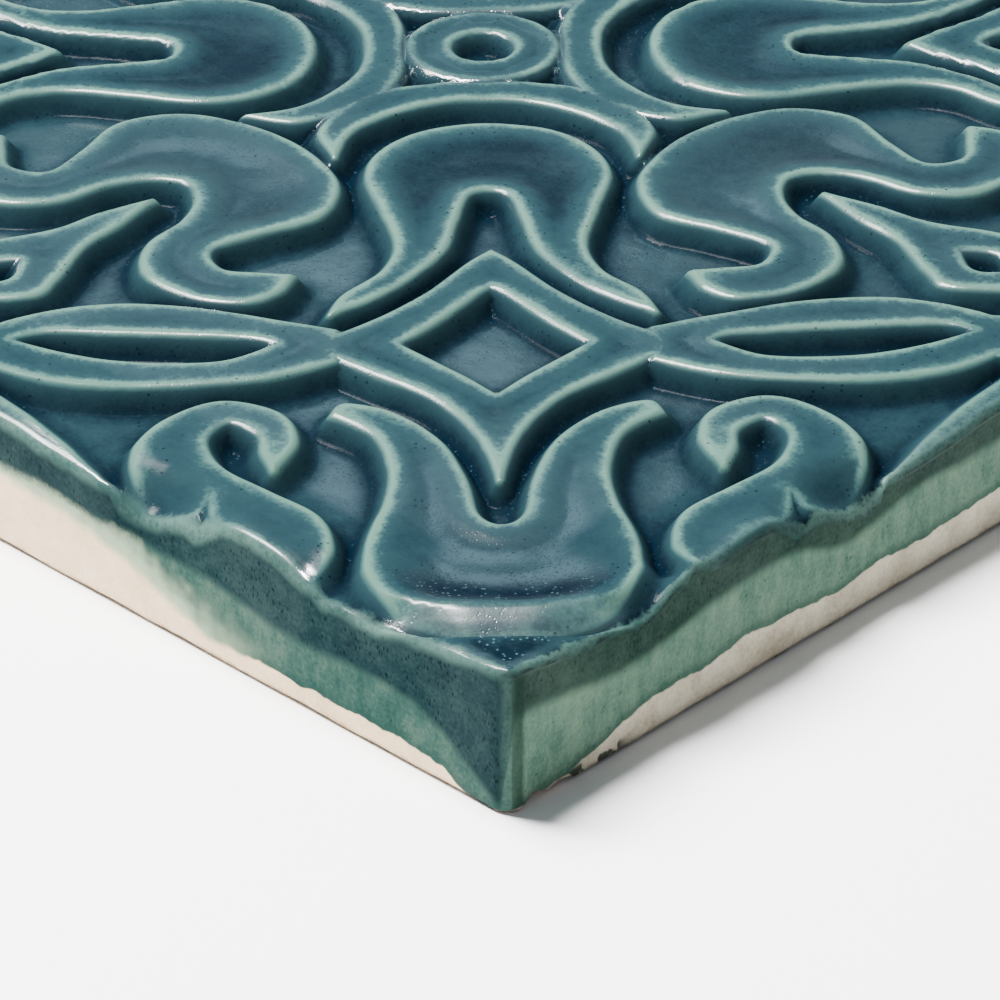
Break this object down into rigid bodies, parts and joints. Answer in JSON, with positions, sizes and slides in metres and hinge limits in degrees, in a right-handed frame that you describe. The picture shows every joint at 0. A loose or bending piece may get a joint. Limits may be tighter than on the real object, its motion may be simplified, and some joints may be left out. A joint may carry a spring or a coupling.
{
  "type": "ceramic accent tile",
  "caption": "Square glazed ceramic accent tile with a moulded star, tulip and scroll relief on its face and a flat back for bedding.",
  "frame": {"origin": "centre of the flat back, at the bottom of the tile as it lies", "axes": "+Z out of the decorated face, +X and +Y along the edges of the square"},
  "size_m": [0.15, 0.15, 0.013],
  "materials": {
    "glazed_body": "glossy translucent teal glaze, pooling dark blue in the hollows and breaking to pale sage on the crests and sides, over a peach bisque body that stays bare along the foot of the sides and on the back"
  },
  "bodies": {
    "root": {"tile": "glazed_body"}
  },
  "joints": []
}
